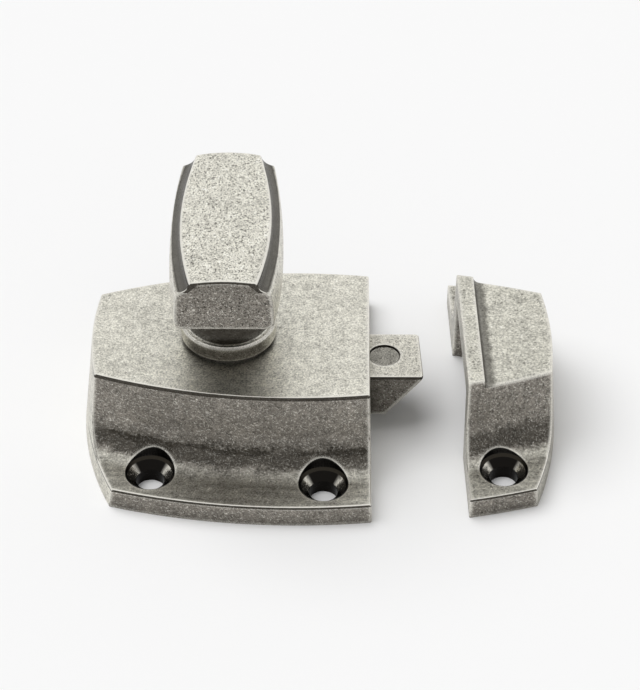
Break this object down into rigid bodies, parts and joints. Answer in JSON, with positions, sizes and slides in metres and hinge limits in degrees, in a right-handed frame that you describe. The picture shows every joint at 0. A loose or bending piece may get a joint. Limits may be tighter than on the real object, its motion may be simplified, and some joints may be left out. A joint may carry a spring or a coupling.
{
  "type": "cabinet latch",
  "caption": "Surface-mounted cabinet turn latch: a coved cast case with a T-bar knob that draws back a sprung bolt with a bevelled nose, and the matching ribbed strike.",
  "frame": {"origin": "where the knob's axis meets the mounting face, z = 0", "axes": "+Z out of the door along the knob's axis, +X the way the bolt points, Y along the T-bar"},
  "size_m": [0.0751, 0.0536, 0.0399],
  "materials": {
    "antique_pewter": "weathered nickel: pale rubbed edges, dark patina in the coves",
    "bright_steel": "zinc plated",
    "dark_steel": "blackened",
    "spring_steel": "drawn wire",
    "washer_brass": "rolled"
  },
  "bodies": {
    "case": {"case": "antique_pewter", "back_plate": "bright_steel", "back_plate_screw_1": "bright_steel", "back_plate_screw_2": "bright_steel", "back_plate_screw_3": "bright_steel", "back_plate_screw_4": "bright_steel", "collar_washer": "dark_steel", "bolt_spring": "spring_steel", "strike": "antique_pewter"},
    "knob": {"knob": "antique_pewter", "knob_spindle": "bright_steel", "thrust_washer": "washer_brass", "retractor_cam": "dark_steel", "lock_washer": "bright_steel", "cam_screw": "bright_steel"},
    "bolt": {"bolt": "antique_pewter"}
  },
  "joints": [
    {"name": "knob_turn", "type": "hinge", "parent": "case", "child": "knob", "pos_m": [0, 0, 0], "axis": [0, 0, -1], "range_deg": [0, 60]},
    {"name": "bolt_slide", "type": "slide", "parent": "case", "child": "bolt", "axis": [1, 0, 0], "range_m": [-0.0075, 0], "stiffness_N_per_m": 490, "springref_m": 0.004, "deforming": ["bolt_spring"]}
  ],
  "couplings": [
    {"joint": "knob_turn", "follows": "bolt_slide", "rad_per_m": -139.62}
  ]
}
